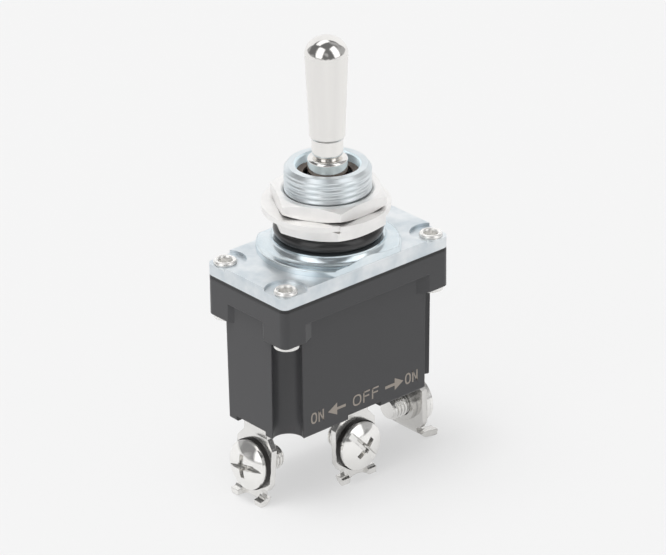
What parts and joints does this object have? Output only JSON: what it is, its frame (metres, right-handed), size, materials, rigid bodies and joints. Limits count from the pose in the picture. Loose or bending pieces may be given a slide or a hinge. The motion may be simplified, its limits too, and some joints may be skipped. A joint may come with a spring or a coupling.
{
  "type": "panel toggle switch",
  "caption": "Sealed panel toggle switch with a threaded bushing, tapered metal lever, riveted rectangular case and screw terminals.",
  "frame": {"origin": "on the bushing's axis, in the top face of the lower nut, where a panel seats", "axes": "+Z along the bushing towards the lever's tip; X along the case's long sides and the lever's swing; Y along its short sides, with the centre terminal at -Y"},
  "size_m": [0.0335, 0.0174, 0.0644],
  "materials": {
    "case_plastic": "matt moulded",
    "black_rubber": "matt",
    "red_rubber": "satin",
    "zinc_plate": "satin plated",
    "nickel": "bright plated",
    "spring_steel": "oiled",
    "bronze": "satin",
    "silver": "satin"
  },
  "bodies": {
    "base": {"case": "case_plastic", "case_gasket": "black_rubber", "cover_plate": "zinc_plate", "rivet_left_front": "zinc_plate", "rivet_left_back": "zinc_plate", "rivet_right_front": "zinc_plate", "rivet_right_back": "zinc_plate", "bushing": "zinc_plate", "lever_seal": "red_rubber", "o_ring": "black_rubber", "lower_nut": "nickel", "panel_washer": "zinc_plate", "upper_nut": "nickel", "terminal_left": "nickel", "terminal_center": "nickel", "terminal_right": "nickel", "terminal_screw_left": "nickel", "terminal_screw_center": "nickel", "terminal_screw_right": "nickel", "lock_washer_left": "spring_steel", "lock_washer_center": "spring_steel", "lock_washer_right": "spring_steel", "fixed_contact_left": "silver", "fixed_contact_right": "silver"},
    "toggle": {"lever": "nickel", "pivot_pin": "spring_steel"},
    "spring_rod": {"plunger": "bronze", "plunger_spring": "spring_steel"},
    "contact_rocker": {"rocker": "bronze", "moving_contact_left": "silver", "moving_contact_right": "silver"}
  },
  "joints": [
    {"name": "lever_tilt", "type": "hinge", "parent": "base", "child": "toggle", "pos_m": [0, 0, 0.0035], "axis": [0, 1, 0], "range_deg": [-14, 14]},
    {"name": "rocker_tilt", "type": "hinge", "parent": "base", "child": "contact_rocker", "pos_m": [0, 0, -0.0185], "axis": [0, 1, 0], "range_deg": [-7, 7]},
    {"name": "plunger_slide", "type": "slide", "parent": "toggle", "child": "spring_rod", "axis": [0, 0, 1], "range_m": [0, 0.0006], "stiffness_N_per_m": 1500, "deforming": ["plunger_spring"]}
  ],
  "couplings": [
    {"joint": "rocker_tilt", "follows": "lever_tilt", "ratio": -0.5}
  ]
}
